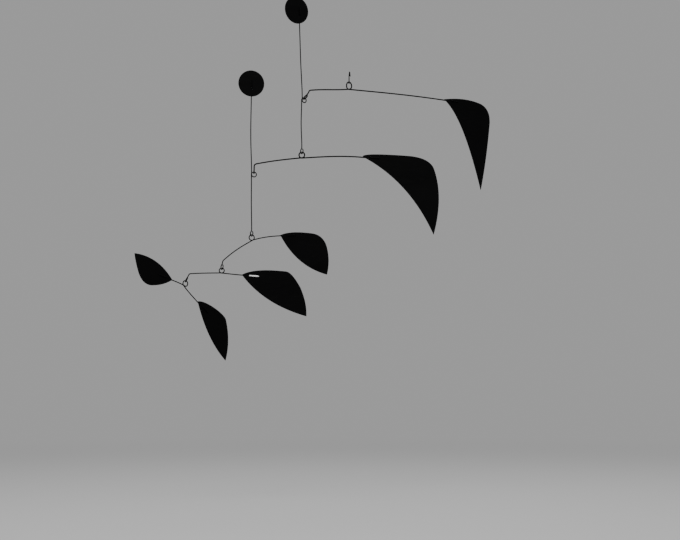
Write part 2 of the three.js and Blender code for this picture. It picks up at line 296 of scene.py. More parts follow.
@dataclass(frozen=True)
class Stitch:
    """The wire's way through a sheet, along its face and back behind it."""

    start: Vector
    direction: Vector
    lead: float
    length: float
    tail: float
    wire: float
    thickness: float

    @property
    def bend_radius(self) -> float:
        """The radius of each bend, which carries the wire from one face to the other."""
        return self.wire / 2 + TOUCH_GAP + self.thickness / 2

    @property
    def hole_radius(self) -> float:
        """The radius of each hole."""
        return self.wire / 2 + HOLE_SLACK

    @property
    def sheet_middle(self) -> float:
        """Where the middle of the sheet lies, away from the viewer."""
        return self.start.y - self.bend_radius

    def _bend(self, along: float, to_front: bool) -> list[Vector]:
        """Draws one bend through the sheet.

        Args:
            along: How far from the start the hole is.
            to_front: Whether the wire comes forward through the sheet.

        Returns:
            Points along the bend.
        """
        radius = self.bend_radius
        places = []
        for step in range(round(180 / BEND_STEP) + 1):
            angle = -90 + step * BEND_STEP
            swing = math.radians(abs(angle))
            sign = math.copysign(1, angle)
            offset = sign * radius * (1 - math.cos(swing))
            crossed = sign * radius * math.sin(swing)
            depth = radius + crossed if to_front else radius - crossed
            places.append(self.start + self.direction * (along + offset) + Vector((0, -depth, 0)))
        return places

    def points(self) -> list[Vector]:
        """Gives the points of the wire from the start to its cut end."""
        end = self.start + self.direction * (self.lead + self.length + self.bend_radius + self.tail)
        first = self._bend(self.lead, True)
        second = self._bend(self.lead + self.length, False)
        front = smooth_run(first[-1], self.direction, second[0], self.direction)
        return joined([self.start], first, front, second, [end])

    def holes(self) -> list[Vector]:
        """Gives the middles of the two holes."""
        places = (self.lead, self.lead + self.length)
        return [self.start + self.direction * along for along in places]


def deselect_all() -> None:
    """Leaves nothing selected, so that an operator acts only on what is added next."""
    bpy.ops.object.select_all(action="DESELECT")


def enter_edit(action: str = "SELECT") -> None:
    """Goes into edit mode with all of the active mesh selected, or deselected."""
    bpy.ops.object.mode_set(mode="EDIT")
    bpy.ops.mesh.select_all(action=action)


def leave_edit() -> None:
    """Goes back to object mode."""
    bpy.ops.object.mode_set(mode="OBJECT")


@dataclass
class WirePiece:
    """A round wire bent along a line of points."""

    name: str
    diameter: float
    centre_line: list[Vector]
    plane: Matrix
    # The stitch whose front stretch carries the painted highlight, if any.
    bright: Stitch | None = None

    def build(self) -> bpy.types.Object:
        """Draws the wire as a curve, gives it its thickness and rounds off its cut ends.

        Returns:
            The wire as a mesh object.
        """
        deselect_all()
        bpy.ops.curve.primitive_bezier_curve_add(location=(0, 0, 0))
        wire = bpy.context.object
        wire.name = self.name
        wire.data.splines.clear()
        spline = wire.data.splines.new("POLY")
        spline.points.add(len(self.centre_line) - 1)
        for point, place in zip(spline.points, self.centre_line):
            point.co = (*(self.plane @ place * MM), 1)
        wire.data.bevel_depth = self.diameter / 2 * MM
        wire.data.bevel_resolution = WIRE_RESOLUTION
        wire.data.use_fill_caps = True
        bpy.ops.object.convert(target="MESH")
        wire.data.name = self.name
        enter_edit()
        bpy.ops.mesh.remove_doubles(threshold=WELDED_WITHIN * MM)
        bpy.ops.mesh.normals_make_consistent(inside=False)
        leave_edit()
        self._round_ends(wire)
        if self.bright is not None:
            self._flatten_front(wire, self.bright)
        bpy.ops.object.shade_smooth_by_angle(angle=math.radians(SMOOTH_BELOW))
        return wire

    def _flatten_front(self, wire: bpy.types.Object, stitch: Stitch) -> None:
        """Hammers the stitch's front stretch flatter and wider, and marks its faces for the painted
        highlight.

        Args:
            wire: The wire's mesh object.
            stitch: The stitch, in the plane of the wire's body.
        """
        to_plane = self.plane.inverted()
        across = stitch.direction.cross(Vector((0, 1, 0)))
        middle = stitch.sheet_middle - stitch.bend_radius

        def along_front(place: Vector) -> float:
            """Gives how far along the front stretch a place is, from 0 to 1, or -1 off it."""
            share = ((place - stitch.start).dot(stitch.direction) - stitch.lead) / stitch.length
            in_front = place.y < stitch.sheet_middle - stitch.thickness / 2
            on_front = in_front and -FRONT_OVERLAP < share < 1 + FRONT_OVERLAP
            return share if on_front else -1.0

        for vertex in wire.data.vertices:
            place = to_plane @ (vertex.co / MM)
            share = along_front(place)
            if 0 < share < 1:
                swell = FRONT_WIDENING * math.sqrt(math.sin(math.pi * share))
                place += across * (place - stitch.start).dot(across) * swell
                place.y = middle + (place.y - middle) / (1 + swell)
                vertex.co = self.plane @ place * MM
        for face in wire.data.polygons:
            if along_front(to_plane @ (face.center / MM)) != -1.0:
                face.material_index = 1

    def _round_ends(self, wire: bpy.types.Object) -> None:
        """Bevels the two flat ends that the cutters left.

        Args:
            wire: The wire's mesh object, which is active.
        """
        enter_edit("DESELECT")
        bpy.ops.mesh.select_mode(type="FACE")
        leave_edit()
        for face in wire.data.polygons:
            face.select = len(face.vertices) > SIDE_CORNERS
        bpy.ops.object.mode_set(mode="EDIT")
        bpy.ops.mesh.region_to_loop()
        rounding = self.diameter * END_ROUNDING * MM
        bpy.ops.mesh.bevel(offset=rounding, segments=ROUNDING_SEGMENTS, affect="EDGES")
        leave_edit()


@dataclass
class SheetPiece:
    """A flat sheet cut to an outline, with round holes and filed edges."""

    name: str
    outline: list[Vector]
    fixing: Stitch
    plane: Matrix
    filed: float = 0.16

    def build(self) -> bpy.types.Object:
        """Cuts the sheet, drills it and files its edges.

        Returns:
            The sheet as a mesh object.
        """
        deselect_all()
        bpy.ops.mesh.primitive_circle_add(vertices=len(self.outline), radius=MM, fill_type="NGON")
        sheet = bpy.context.object
        sheet.name = self.name
        sheet.data.name = self.name
        thickness = self.fixing.thickness
        front = self.fixing.sheet_middle - thickness / 2
        for vertex, corner in zip(sheet.data.vertices, self.outline):
            vertex.co = self.plane @ Vector((corner.x, front, corner.z)) * MM
        depth = self.plane.to_3x3() @ Vector((0, thickness * MM, 0))
        enter_edit()
        bpy.ops.mesh.extrude_region_move(TRANSFORM_OT_translate={"value": depth})
        bpy.ops.mesh.select_all(action="SELECT")
        bpy.ops.mesh.normals_make_consistent(inside=False)
        leave_edit()
        for hole in self.fixing.holes():
            self._drill(sheet, hole)
        self._file_edges(sheet)
        return sheet

    def _drill(self, sheet: bpy.types.Object, hole: Vector) -> None:
        """Drills one hole right through.

        Args:
            sheet: The sheet's mesh object.
            hole: The hole's middle in the sheet's plane.
        """
        deselect_all()
        turn = self.plane.to_3x3().to_4x4() @ Matrix.Rotation(math.radians(90), 4, "X")
        bpy.ops.mesh.primitive_cylinder_add(
            vertices=HOLE_SIDES,
            radius=self.fixing.hole_radius * MM,
            depth=self.fixing.thickness * DRILL_LENGTHS * MM,
            location=self.plane @ Vector((hole.x, self.fixing.sheet_middle, hole.z)) * MM,
            rotation=turn.to_euler(),
        )
        drill = bpy.context.object
        deselect_all()
        sheet.select_set(True)
        bpy.context.view_layer.objects.active = sheet
        cut = sheet.modifiers.new("drilled", "BOOLEAN")
        cut.operation = "DIFFERENCE"
        cut.solver = "EXACT"
        cut.object = drill
        bpy.ops.object.modifier_apply(modifier=cut.name)
        bpy.data.objects.remove(drill, do_unlink=True)

    def _file_edges(self, sheet: bpy.types.Object) -> None:
        """Rounds every edge between a face and the rim, as a file does.

        Args:
            sheet: The sheet's mesh object, which is active.
        """
        filing = sheet.modifiers.new("filed", "BEVEL")
        filing.width = self.filed * MM
        filing.segments = ROUNDING_SEGMENTS
        filing.limit_method = "ANGLE"
        filing.angle_limit = math.radians(FILED_ABOVE)
        filing.harden_normals = True
        bpy.ops.object.shade_smooth()
        bpy.ops.object.modifier_apply(modifier=filing.name)


@dataclass(frozen=True)
class Blade:
    """A pointed blade, drawn from its root at the wire."""

    name: str
    thickness: float
    shoulder: Pair
    tip: Pair
    top: Pair
    outer: Pair
    inner: Pair
    rounding: Pair
    root_rise: float = 0.0
    stitch_shift: float = 0.0
    # Whether the stitch's front stretch gets the near-white painted highlight.
    painted_highlight: bool = False

    def outline(self, root: Vector, side: Side) -> list[Vector]:
        """Draws the three curved edges and the rounded shoulder.

        Args:
            root: Where the blade's root is in its body's plane.
            side: The end of the arm that the blade is on.

        Returns:
            The outline's points, once round.
        """

        def place(point: Pair) -> Vector:
            """Puts one of the blade's points where it lies from the root."""
            return root + Vector((side.value * point[0], 0, point[1]))

        def edge(start: Vector, pull: Vector, end: Vector) -> list[Vector]:
            """Draws one edge, in a few steps that are each divided finer."""
            return quadratic(start, pull, end, EDGE_STEPS * EDGE_FINER)

        shoulder = place(self.shoulder)
        tip = place(self.tip)
        before, after = self.rounding
        top = edge(root, place(self.top), shoulder)
        clear = sum((point - shoulder).length >= before for point in top[::EDGE_FINER])
        top = top[: (clear - 1) * EDGE_FINER + 1]
        outer = edge(shoulder, place(self.outer), tip)
        clear = sum((point - shoulder).length >= after for point in outer[::EDGE_FINER])
        outer = outer[-((clear - 1) * EDGE_FINER + 1) :]
        inner = edge(tip, place(self.inner), root)
        corner = quadratic(top[-1], shoulder, outer[0], SHOULDER_STEPS)
        return [*top, *corner[1:-1], *outer, *inner[1:-1]]


@dataclass(frozen=True)
class Disc:
    """A round disc on the top of a rod."""

    name: str
    radius: float
    thickness: float
    aside: float

    def outline(self, centre: Vector) -> list[Vector]:
        """Draws the disc's rim about its centre."""
        turn = 360 / DISC_STEPS
        return [centre + heading_direction(turn * step) * self.radius for step in range(DISC_STEPS)]


@dataclass(frozen=True)
class Eye:
    """The size of an arm's eye, and the headings of the wire as it comes in and goes out."""

    half_width: float
    half_height: float
    arriving: float
    leaving: float


@dataclass(frozen=True)
class Hook:
    """The eye at the lower end of an arm or rod, placed by where the next body bears on it."""

    link: Pair
    radius: float
    neck: float
    heading: float = 90.0
    twist: float = 0.0
    bow: float = 0.0

    def end_eye(self, wire: float, sideways: float) -> EndEye:
        """Places the eye so that its lowest point bears at the link.

        Args:
            wire: The wire's diameter.
            sideways: How far the wire lies from the body's plane.

        Returns:
            The end eye.
        """
        into = -heading_direction(self.heading)
        lowest = Vector((self.link[0], 0, self.link[1] - bearing_offset(wire)))
        tip = lowest - into * self.neck
        tip.y = sideways
        across = Matrix.Rotation(math.radians(-self.twist), 3, into) @ Vector((0, 1, 0))
        return EndEye(tip, into, across, self.radius, self.neck, wire)


@dataclass
class Tier:
    """One body of the chain, with its place in the whole."""

    name: str
    wire: float
    yaw: float
    plane: Matrix = field(default_factory=Matrix, init=False)
    centre_line: list[Vector] = field(default_factory=list, init=False)
    sheets: list[SheetPiece] = field(default_factory=list, init=False)
    rubs: list[Vector] = field(default_factory=list, init=False)
    # The stitch that gets the painted highlight, if any.
    bright: Stitch | None = field(default=None, init=False)

    @property
    def link_place(self) -> Vector | None:
        """Where the next body hangs, in this body's plane, or None at the end of the chain."""
        return None

    def hang_at(self, place: Vector) -> None:
        """Puts the body where it hangs and turns it to its yaw.

        Args:
            place: The point that it hangs from, in the whole.
        """
        self.plane = Matrix.Translation(place) @ Matrix.Rotation(math.radians(self.yaw), 4, "Z")

    def lay_out(self) -> None:
        """Works out the wire's line and the sheets that it carries."""
        raise NotImplementedError

    def wire_piece(self) -> WirePiece:
        """Describes the body's wire."""
        name = f"{self.name}_wire_bent"
        return WirePiece(name, self.wire, self.centre_line, self.plane, self.bright)


@dataclass
class Arm(Tier):
    """An arm, carried at its eye, with a blade on the right and a hook or a blade on the left."""

    eye: Eye
    right_end: Pair
    right_heading: float
    right_blade: Blade
    hook: Hook | None = None
    bend: Pair | None = None
    bend_heading: float = 0.0
    left_end: Pair | None = None
    left_heading: float = 0.0
    left_blade: Blade | None = None

    @property
    def link_place(self) -> Vector | None:
        """Where the next body hangs, in this arm's plane."""
        if self.hook is None:
            return None
        return Vector((self.hook.link[0], -(self.wire + TOUCH_GAP) / 2, self.hook.link[1]))

    def _blade_on_wire(
        self, blade: Blade, start: Vector, outward: Vector, side: Side
    ) -> list[Vector]:
        """Carries the wire on through a blade, and adds the blade.

        Args:
            blade: The blade.
            start: Where the arm's run ends.
            outward: The wire's direction there.
            side: The end of the arm.

        Returns:
            The wire's points through the blade.
        """
        fixing = Stitch(
            start=start,
            direction=outward,
            lead=BLADE_LEAD + blade.stitch_shift,
            length=BLADE_STITCH,
            tail=BLADE_TAIL,
            wire=self.wire,
            thickness=blade.thickness,
        )
        root = Vector((start.x, 0, start.z + blade.root_rise))
        outline = blade.outline(root, side)
        self.sheets.append(SheetPiece(f"{blade.name}_cut", outline, fixing, self.plane))
        # This blade's stitch takes the painted highlight.
        if blade.painted_highlight:
            self.bright = fixing
        return fixing.points()

    def lay_out(self) -> None:
        """Works out the arm's wire from one end to the other, and its blades."""
        eye = self.eye
        coil = Coil(self.wire, eye.half_width, eye.half_height, eye.arriving - 90, eye.leaving - 90)
        turn = coil.points()
        arriving, leaving = coil.direction(coil.start), coil.direction(coil.end)
        front, back = turn[0].y, turn[-1].y
        right = Vector((self.right_end[0], back, self.right_end[1]))
        outward = heading_direction(self.right_heading)
        right_stretch = joined(
            smooth_run(turn[-1], leaving, right, outward),
            self._blade_on_wire(self.right_blade, right, outward, Side.RIGHT),
        )
        if self.hook is not None:
            end_eye = self.hook.end_eye(self.wire, front)
            end = end_eye.points()[::-1]
            corner = Vector((self.bend[0], front, self.bend[1]))
            corner_direction = heading_direction(self.bend_heading)
            left_stretch = joined(
                end,
                smooth_run(end[-1], -end_eye.into, corner, corner_direction),
                smooth_run(corner, corner_direction, turn[0], arriving),
            )
            self.rubs.append(self.plane @ self.link_place)
        else:
            left = Vector((self.left_end[0], front, self.left_end[1]))
            inward = heading_direction(self.left_heading)
            through = self._blade_on_wire(self.left_blade, left, -inward, Side.LEFT)
            left_stretch = joined(through[::-1], smooth_run(left, inward, turn[0], arriving))
        self.rubs.append(self.plane @ Vector())
        self.centre_line = joined(left_stretch, turn, right_stretch)


@dataclass
class Rod(Tier):
    """An upright rod, hung by a side eye, with a disc on top and an eye at its foot."""

    side_radius: float
    top: Pair
    top_heading: float
    top_bow: float
    foot: Hook
    disc: Disc

    @property
    def link_place(self) -> Vector | None:
        """Where the next body hangs, in this rod's plane."""
        return Vector((self.foot.link[0], (self.wire + TOUCH_GAP) / 2, self.foot.link[1]))

    def lay_out(self) -> None:
        """Works out the rod's wire from the disc down to the foot, and the disc."""
        turn = Coil(self.wire, self.side_radius, self.side_radius, 180, 180).points()
        front, back = turn[0].y, turn[-1].y
        top = Vector((self.top[0], front, self.top[1]))
        upward = heading_direction(self.top_heading)
        centre_along = self.disc.radius + DISC_CLEARANCE
        fixing = Stitch(
            start=top,
            direction=upward,
            lead=centre_along - DISC_BELOW,
            length=DISC_STITCH,
            tail=DISC_TAIL,
            wire=self.wire,
            thickness=self.disc.thickness,
        )
        centre = top + upward * centre_along + Vector((self.disc.aside, 0, 0))
        rim = self.disc.outline(centre)
        self.sheets.append(SheetPiece(f"{self.disc.name}_cut", rim, fixing, self.plane))
        foot = self.foot.end_eye(self.wire, back).points()
        above = (top + turn[0]) / 2 + Vector((self.top_bow, 0, 0))
        lean = (turn[0] - top).normalized()
        below = (turn[-1] + foot[0]) / 2 + Vector((self.foot.bow, 0, 0))
        self.centre_line = joined(
            fixing.points()[::-1],
            smooth_run(top, -upward, above, lean),
            smooth_run(above, lean, turn[0], DOWN),
            turn,
            smooth_run(turn[-1], DOWN, below, DOWN),
            smooth_run(below, DOWN, foot[0], DOWN),
            foot,
        )
        self.rubs = [self.plane @ Vector(), self.plane @ self.link_place]


@dataclass
class Hanger(Tier):
    """The link on top, with an eye that laps beside itself above and an open eye below."""

    upper_radius: float
    upper_neck: float
    upper_wrap: float
    lower_radius: float
    lower_neck: float
    between: float

    @property
    def aside(self) -> float:
        """How far the neck stands to the left of the upper eye's middle."""
        return -wrap_drift(self.wire, self.upper_wrap) / 2

    @property
    def link_place(self) -> Vector | None:
        """Where the top arm hangs."""
        drop = self.upper_neck + self.between + self.lower_neck - self.wire / 2
        return Vector((self.aside, 0, bearing_offset(self.wire) - drop))

    def lay_out(self) -> None:
        """Works out the hanger's wire from its upper end to its lower."""
        upper_tip = Vector((self.aside, 0, self.wire / 2 - self.upper_neck))
        across = Vector((0, 1, 0))
        upper = EndEye(
            upper_tip, UP, across, self.upper_radius, self.upper_neck, self.wire, self.upper_wrap
        )
        lower_tip = upper_tip + DOWN * self.between
        lower = EndEye(lower_tip, DOWN, across, self.lower_radius, self.lower_neck, self.wire)
        self.centre_line = joined(upper.points()[::-1], lower.points())
        self.rubs = [Vector(), self.link_place]


def make_hanger() -> Hanger:
    """Gives the hanger."""
    return Hanger(
        name="hanger",
        wire=LIGHT_WIRE,
        yaw=0,
        upper_radius=4.4,
        upper_neck=9.6,
        upper_wrap=340,
        lower_radius=5.4,
        lower_neck=12.4,
        between=3.7,
    )


def make_arm_1() -> Arm:
    """Gives the top arm with its long pointed blade."""
    blade = Blade(
        name="blade_1",
        thickness=1.3,
        shoulder=(145.8, -8.8),
        tip=(114.1, -205.7),
        top=(87.5, 17.4),
        outer=(136.5, -115.5),
        inner=(58.6, -32.9),
        rounding=(32, 26),
        root_rise=1.4,
        stitch_shift=5,
    )
    return Arm(
        name="arm_1",
        wire=HEAVY_WIRE,
        yaw=35,
        eye=Eye(6.4, 8, arriving=9, leaving=2),
        hook=Hook(link=(-122.5, -49.6), heading=53, radius=5.6, neck=14),
        bend=(-105.4, -29.6),
        bend_heading=11,
        right_end=(275.5, -6.2),
        right_heading=0,
        right_blade=blade,
    )


def make_arm_2() -> Arm:
    """Gives the second arm with the largest blade."""
    blade = Blade(
        name="blade_2",
        thickness=1.2,
        shoulder=(146.5, -0.2),
        tip=(157.2, -171),
        top=(-4.8, 11.3),
        outer=(184.9, -68),
        inner=(103, -52.7),
        rounding=(26, 20),
        root_rise=0.8,
    )
    return Arm(
        name="arm_2",
        wire=HEAVY_WIRE,
        yaw=4,
        eye=Eye(6.1, 6.2, arriving=6, leaving=4),
        hook=Hook(link=(-105, -44.5), heading=88, radius=5.6, neck=14),
        bend=(-92, -23.6),
        bend_heading=11,
        right_end=(134.5, -7.6),
        right_heading=-4,
        right_blade=blade,
    )


def make_arm_3() -> Arm:
    """Gives the third arm, which bends well down on the left."""
    blade = Blade(
        name="blade_3",
        thickness=1.32,
        shoulder=(105.4, 6),
        tip=(118.4, -83.1),
        top=(28.1, 13.8),
        outer=(131.3, -35.3),
        inner=(40.5, -67.6),
        rounding=(20, 16),
        root_rise=1.4,
    )
    return Arm(
        name="arm_3",
        wire=LIGHT_WIRE,
        yaw=30,
        eye=Eye(5.9, 5.9, arriving=29, leaving=17),
        hook=Hook(link=(-72.6, -76), heading=84, radius=5.4, neck=12.6),
        bend=(-60.9, -51),
        bend_heading=40,
        right_end=(70.5, 3),
        right_heading=5,
        right_blade=blade,
    )


def make_arm_4() -> Arm:
    """Gives the fourth arm, whose blade's stitch carries a painted highlight."""
    blade = Blade(
        name="blade_4",
        thickness=0.87,
        shoulder=(109.2, 6.7),
        tip=(140.7, -89.4),
        top=(28, 16.5),
        outer=(142.7, -44.8),
        inner=(48, -64.1),
        rounding=(12, 32),
        root_rise=0.6,
        # The front of this stitch gets the painted highlight.
        painted_highlight=True,
    )
    return Arm(
        name="arm_4",
        wire=LIGHT_WIRE,
        yaw=8,
        eye=Eye(5.4, 5.2, arriving=1, leaving=-6),
        hook=Hook(link=(-78.2, -27.8), heading=65, radius=5.4, neck=12.6, twist=9),
        bend=(-67.2, -11.3),
        bend_heading=4,
        right_end=(43.5, -13),
        right_heading=-4,
        right_blade=blade,
    )


def make_arm_5() -> Arm:
    """Gives the last arm, with a blade at each end."""
    left_blade = Blade(
        name="blade_5_left",
        thickness=1.2,
        shoulder=(77.1, -13.7),
        tip=(98.4, 50.7),
        top=(30.3, -17.6),
        outer=(94.7, 21.9),
        inner=(37.6, 48.1),
        rounding=(20, 20),
    )
    right_blade = Blade(
        name="blade_5_right",
        thickness=0.92,
        shoulder=(76.8, -29.1),
        tip=(78.4, -127.8),
        top=(21.4, 4.2),
        outer=(94.6, -79.8),
        inner=(25.6, -82),
        rounding=(26, 8),
        root_rise=0.4,
    )
    return Arm(
        name="arm_5",
        wire=LIGHT_WIRE,
        yaw=45,
        eye=Eye(5.8, 6.1, arriving=-22, leaving=-45),
        left_end=(-38.5, 1),
        left_heading=-15,
        left_blade=left_blade,
        right_end=(33.5, -42.5),
        right_heading=-40,
        right_blade=right_blade,
    )


def make_rod_1() -> Rod:
    """Gives the upper rod with its disc."""
    return Rod(
        name="rod_1",
        wire=LIGHT_WIRE,
        yaw=32,
        side_radius=5.4,
        top=(-12.2, 159),
        top_heading=92,
        top_bow=-0.4,
        foot=Hook(link=(-4.9, -120.4), radius=5.4, neck=12.6, bow=-1.5),
        disc=Disc("disc_1", radius=29.3, thickness=1, aside=-7.6),
    )


def make_rod_2() -> Rod:
    """Gives the lower rod with its disc."""
    return Rod(
        name="rod_2",
        wire=LIGHT_WIRE,
        yaw=12,
        side_radius=5.4,
        top=(-6, 164),
        top_heading=89,
        top_bow=-1.5,
        foot=Hook(link=(-4.9, -137.6), radius=5.4, neck=12.6, twist=22, bow=-0.5),
        disc=Disc("disc_2", radius=28.5, thickness=1, aside=-0.8),
    )


BLACK: Triple = (0, 0, 0)
BACKDROP: Triple = (0.36, 0.36, 0.36)

STROKE_STRETCH: Triple = (3.0, 1.0, 0.8)
STROKE_SHARE = 0.7
PATCH_SCALE = 14.0
PATCH_SHARE = 0.5
DULL_BAND = (0.35, 0.65)
THIN_BAND = (0.55, 0.75)
RAGGED_SCALE = 1400.0
RAGGED_DEPTH = 0.9
RIM_BAND = (0.9, 1.3)
MARK_BAND = (0.5, 0.75)


class NodeInk:
    """Adds and links shader nodes in one tree."""

    def __init__(self, tree: Tree) -> None:
        """Keeps the tree that the nodes go in."""
        self.tree = tree

    def feed(self, node: bpy.types.Node, values: Values) -> None:
        """Links outputs to a node's inputs, or sets the inputs to plain values.

        Args:
            node: The node.
            values: An output, a number, a vector or a colour for each input.
        """
        for name, value in values.items():
            socket = node.inputs[name]
            if isinstance(value, Socket):
                self.tree.links.new(value, socket)
            elif socket.type == "RGBA":
                socket.default_value = (*value, 1)
            else:
                socket.default_value = value

    def add(self, kind: str, values: Values | None = None, **settings: object) -> bpy.types.Node:
        """Adds a node.

        Args:
            kind: The node's type name.
            values: What its inputs get.
            settings: Its properties by name.

        Returns:
            The node.
        """
        node = self.tree.nodes.new(kind)
        for name, setting in settings.items():
            setattr(node, name, setting)
        self.feed(node, values or {})
        return node

    def math(self, operation: str, first: object, second: object) -> Socket:
        """Works out one value from two numbers or outputs."""
        return self.add("ShaderNodeMath", {0: first, 1: second}, operation=operation).outputs[0]

    def blend(self, first: object, share: float, second: object) -> Socket:
        """Adds two values, the first by its share and the second by the rest."""
        rest = self.math("MULTIPLY", second, 1 - share)
        return self.math("ADD", self.math("MULTIPLY", first, share), rest)

    def noise(self, vector: Socket, scale: object, detail: float) -> Socket:
        """Gives a noise of a scale, with so many finer layers."""
        values = {"Vector": vector, "Scale": scale, "Detail": detail}
        return self.add("ShaderNodeTexNoise", values).outputs["Fac"]

    def spread(self, value: Socket, low: object, high: object) -> Socket:
        """Maps 0 to 1 onto a range, whose ends are numbers or outputs."""
        values = {"Value": value, "To Min": low, "To Max": high}
        return self.add("ShaderNodeMapRange", values).outputs["Result"]

    def between(self, value: Socket, low: float, high: float) -> Socket:
        """Gives 0 below low, 1 above high and a smooth step between them."""
        values = {"Value": value, "From Min": low, "From Max": high}
        smooth = self.add("ShaderNodeMapRange", values, interpolation_type="SMOOTHSTEP")
        return smooth.outputs["Result"]

    def mix(self, mask: Socket, first: object, second: object) -> Socket:
        """Mixes two colours, the first where the mask is 0 and the second where it is 1."""
        values = {0: mask, 6: first, 7: second}
        return self.add("ShaderNodeMix", values, data_type="RGBA").outputs[2]


class EffectGroup(NodeInk):
    """A shader node group that puts out values."""

    def __init__(self, name: str, vectors: Labels, values: Labels, outputs: Labels) -> None:
        """Makes the group and its sockets.

        Args:
            name: The group's name.
            vectors: The names of the inputs that are places.
            values: The names of the inputs that are numbers.
            outputs: The names of the values that it puts out.
        """
        super().__init__(bpy.data.node_groups.new(name, "ShaderNodeTree"))
        new_socket = self.tree.interface.new_socket
        for label in vectors:
            new_socket(label, in_out="INPUT", socket_type="NodeSocketVector")
        for label in values:
            new_socket(label, in_out="INPUT", socket_type="NodeSocketFloat")
        for label in outputs:
            new_socket(label, in_out="OUTPUT", socket_type="NodeSocketFloat")
        self.given = self.add("NodeGroupInput").outputs
        self.output = self.add("NodeGroupOutput")


def brushed_coat_group() -> Tree:
    """Makes the group that gives paint its brush marks, grain and dull patches.

    Returns:
        A group that puts out a mask of thin paint, a roughness and a height.
    """
    values = ("Stroke Scale", "Grain Scale", "Dull", "Shiny")
    group = EffectGroup("brushed_coat", ("Vector",), values, ("Thin", "Roughness", "Height"))
    given = group.given
    strokes = group.noise(given["Vector"], given["Stroke Scale"], 3)
    grain = group.noise(given["Vector"], given["Grain Scale"], 2)
    patches = group.noise(given["Vector"], PATCH_SCALE, 2)
    dullness = group.between(group.blend(strokes, PATCH_SHARE, patches), *DULL_BAND)
    put_out = {
        "Thin": group.between(strokes, *THIN_BAND),
        "Roughness": group.spread(dullness, given["Shiny"], given["Dull"]),
        "Height": group.blend(strokes, STROKE_SHARE, grain),
    }
    group.feed(group.output, put_out)
    return group.tree


def rubbed_spot_group() -> Tree:
    """Makes the group that marks where one wire rubs on another.

    Returns:
        A group that puts out a mask, broken up at its rim.
    """
    group = EffectGroup("rubbed_spot", ("Vector", "Spot"), ("Reach",), ("Mask",))
    given = group.given
    ends = {0: given["Vector"], 1: given["Spot"]}
    away = group.add("ShaderNodeVectorMath", ends, operation="DISTANCE")
    share = group.math("DIVIDE", away.outputs["Value"], given["Reach"])
    speckle = group.noise(given["Vector"], RAGGED_SCALE, 2)
    ragged = group.math("MULTIPLY", speckle, RAGGED_DEPTH)
    outside = group.between(group.math("ADD", share, ragged), *RIM_BAND)
    group.feed(group.output, {"Mask": group.math("SUBTRACT", 1.0, outside)})
    return group.tree


class Finish(NodeInk):
    """A new material, with its shader and the Object coordinates."""

    def __init__(self, name: str) -> None:
        """Makes the material."""
        self.material = bpy.data.materials.new(name)
        self.material.use_nodes = True
        super().__init__(self.material.node_tree)
        self.shader = self.tree.nodes["Principled BSDF"]
        self.place = self.add("ShaderNodeTexCoord").outputs["Object"]


@dataclass(frozen=True)
class BlackPaint:
    """Black paint brushed on steel, with bare metal where wires rub."""

    coat: Tree
    rubbed: Tree
    colour: Triple = (0.0013, 0.0013, 0.0014)
    thin_colour: Triple = (0.0026, 0.0025, 0.0025)
    bare_colour: Triple = (0.20, 0.19, 0.18)
    dull: float = 0.62
    shiny: float = 0.46
    gloss: float = 0.045
    stroke_scale: float = 90.0
    grain_scale: float = 1800.0
    bump: float = 0.12
    relief: float = 0.00012
    rub_reach: float = 0.0024

    def material(
        self,
        name: str,
        turn: float,
        stretch: Triple = (1, 1, 1),
        rubs: tuple[Vector, ...] = (),
    ) -> bpy.types.Material:
        """Makes the paint's material for one piece.

        Args:
            name: The material's name.
            turn: The yaw of the piece's plane in degrees.
            stretch: How the strokes are drawn out along the plane's axes.
            rubs: Where other wires rub, in metres.

        Returns:
            The material.
        """
        finish = Finish(name)
        along_plane = finish.add(
            "ShaderNodeMapping",
            {"Vector": finish.place, "Rotation": (0, 0, math.radians(turn)), "Scale": stretch},
            vector_type="TEXTURE",
        )
        brushing = {
            "Vector": along_plane.outputs["Vector"],
            "Stroke Scale": self.stroke_scale,
            "Grain Scale": self.grain_scale,
            "Dull": self.dull,
            "Shiny": self.shiny,
        }
        paint = finish.add("ShaderNodeGroup", brushing, node_tree=self.coat).outputs
        relief = {"Strength": self.bump, "Distance": self.relief, "Height": paint["Height"]}
        surface: Values = {
            "Base Color": finish.mix(paint["Thin"], self.colour, self.thin_colour),
            "Roughness": paint["Roughness"],
            "Specular IOR Level": self.gloss,
            "Normal": finish.add("ShaderNodeBump", relief).outputs["Normal"],
        }
        worn: Socket | None = None
        for rub in rubs:
            spot = {"Vector": finish.place, "Spot": rub, "Reach": self.rub_reach}
            mask = finish.add("ShaderNodeGroup", spot, node_tree=self.rubbed).outputs["Mask"]
            worn = mask if worn is None else finish.math("MAXIMUM", worn, mask)
        if worn is not None:
            surface["Base Color"] = finish.mix(worn, surface["Base Color"], self.bare_colour)
            surface["Metallic"] = worn
        finish.feed(finish.shader, surface)
        return finish.material


@dataclass(frozen=True)
class PaintedHighlightMetal:
    """Near-white metal that paints the highlight on one wire stretch, with fine marks of the
    pliers.
    """

    # Near-white colours: the painted highlight itself, not the wire's own colour.
    colour: Triple = (0.96, 0.96, 0.95)
    dark_colour: Triple = (0.82, 0.82, 0.81)
    roughness: float = 0.5
    unevenness: float = 0.08
    mark_scale: float = 900.0

    def material(self, name: str) -> bpy.types.Material:
        """Makes the material of the painted highlight."""
        finish = Finish(name)
        marks = finish.noise(finish.place, self.mark_scale, 3)
        marked = finish.between(marks, *MARK_BAND)
        smoothest, roughest = self.roughness - self.unevenness, self.roughness + self.unevenness
        surface = {
            "Base Color": finish.mix(marked, self.colour, self.dark_colour),
            "Roughness": finish.spread(marks, smoothest, roughest),
            "Metallic": 1.0,
        }
        finish.feed(finish.shader, surface)
        return finish.material


